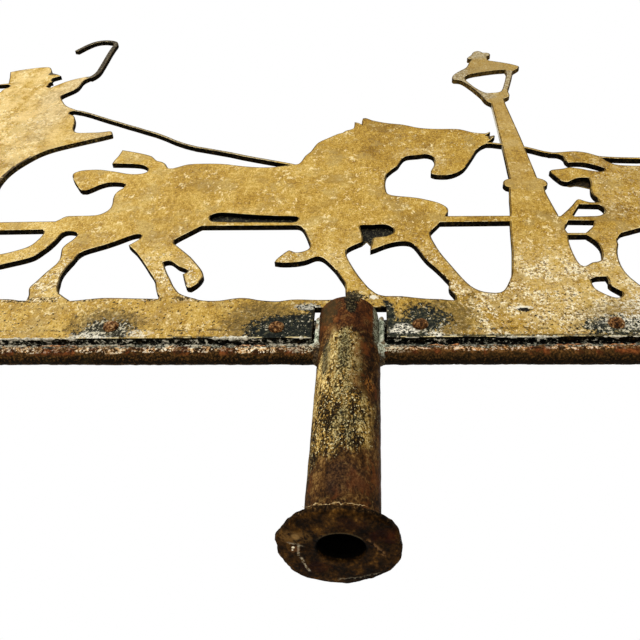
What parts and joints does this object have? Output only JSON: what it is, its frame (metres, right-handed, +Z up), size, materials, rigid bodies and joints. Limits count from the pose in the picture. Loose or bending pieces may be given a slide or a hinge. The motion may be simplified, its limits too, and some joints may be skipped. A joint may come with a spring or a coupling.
{
  "type": "weathervane",
  "caption": "Coach and horses weathervane: cut silhouette plate riveted to strips on cross rods, welded to a tube that turns on a spindle.",
  "frame": {"origin": "centre of the spindle's lower end face, at the mouth of its threaded socket, on the turning axis", "axes": "+Z up along the turning axis; +X towards the leading horses and along the vane; the plate's painted face looks to -Y"},
  "size_m": [1.056, 0.056, 0.6163],
  "materials": {
    "gold_plate": "weathered gold paint, cut edges nearly black",
    "rod_rust": "rusted",
    "strip_paint": "flaking grey paint",
    "tube_rust": "rust with worn ochre paint",
    "inner_iron": "greasy iron",
    "bush_bronze": "dull",
    "collar_rust": "rough rust",
    "spindle_steel": "oiled",
    "ball_steel": "polished",
    "rivet_rust": "orange rust",
    "washer_iron": "dull",
    "weld_crust": "pale oxide crust",
    "collar_weld_rust": "rusted"
  },
  "bodies": {
    "spindle_post": {"spindle": "spindle_steel", "thrust_ball": "ball_steel"},
    "vane": {"silhouette_plate": "gold_plate", "cross_rod_left": "rod_rust", "cross_rod_right": "rod_rust", "backing_strip_left": "strip_paint", "backing_strip_right": "strip_paint", "pivot_tube": "tube_rust", "tube_plug": "inner_iron", "upper_bush": "bush_bronze", "foot_collar": "collar_rust", "rivets": "rivet_rust", "rivet_washers": "washer_iron", "rod_weld_left": "weld_crust", "rod_weld_right": "weld_crust", "collar_weld": "collar_weld_rust"}
  },
  "joints": [
    {"name": "vane_turn", "type": "hinge", "parent": "spindle_post", "child": "vane", "pos_m": [0, 0, 0.05], "axis": [0, 0, 1], "continuous": true}
  ]
}
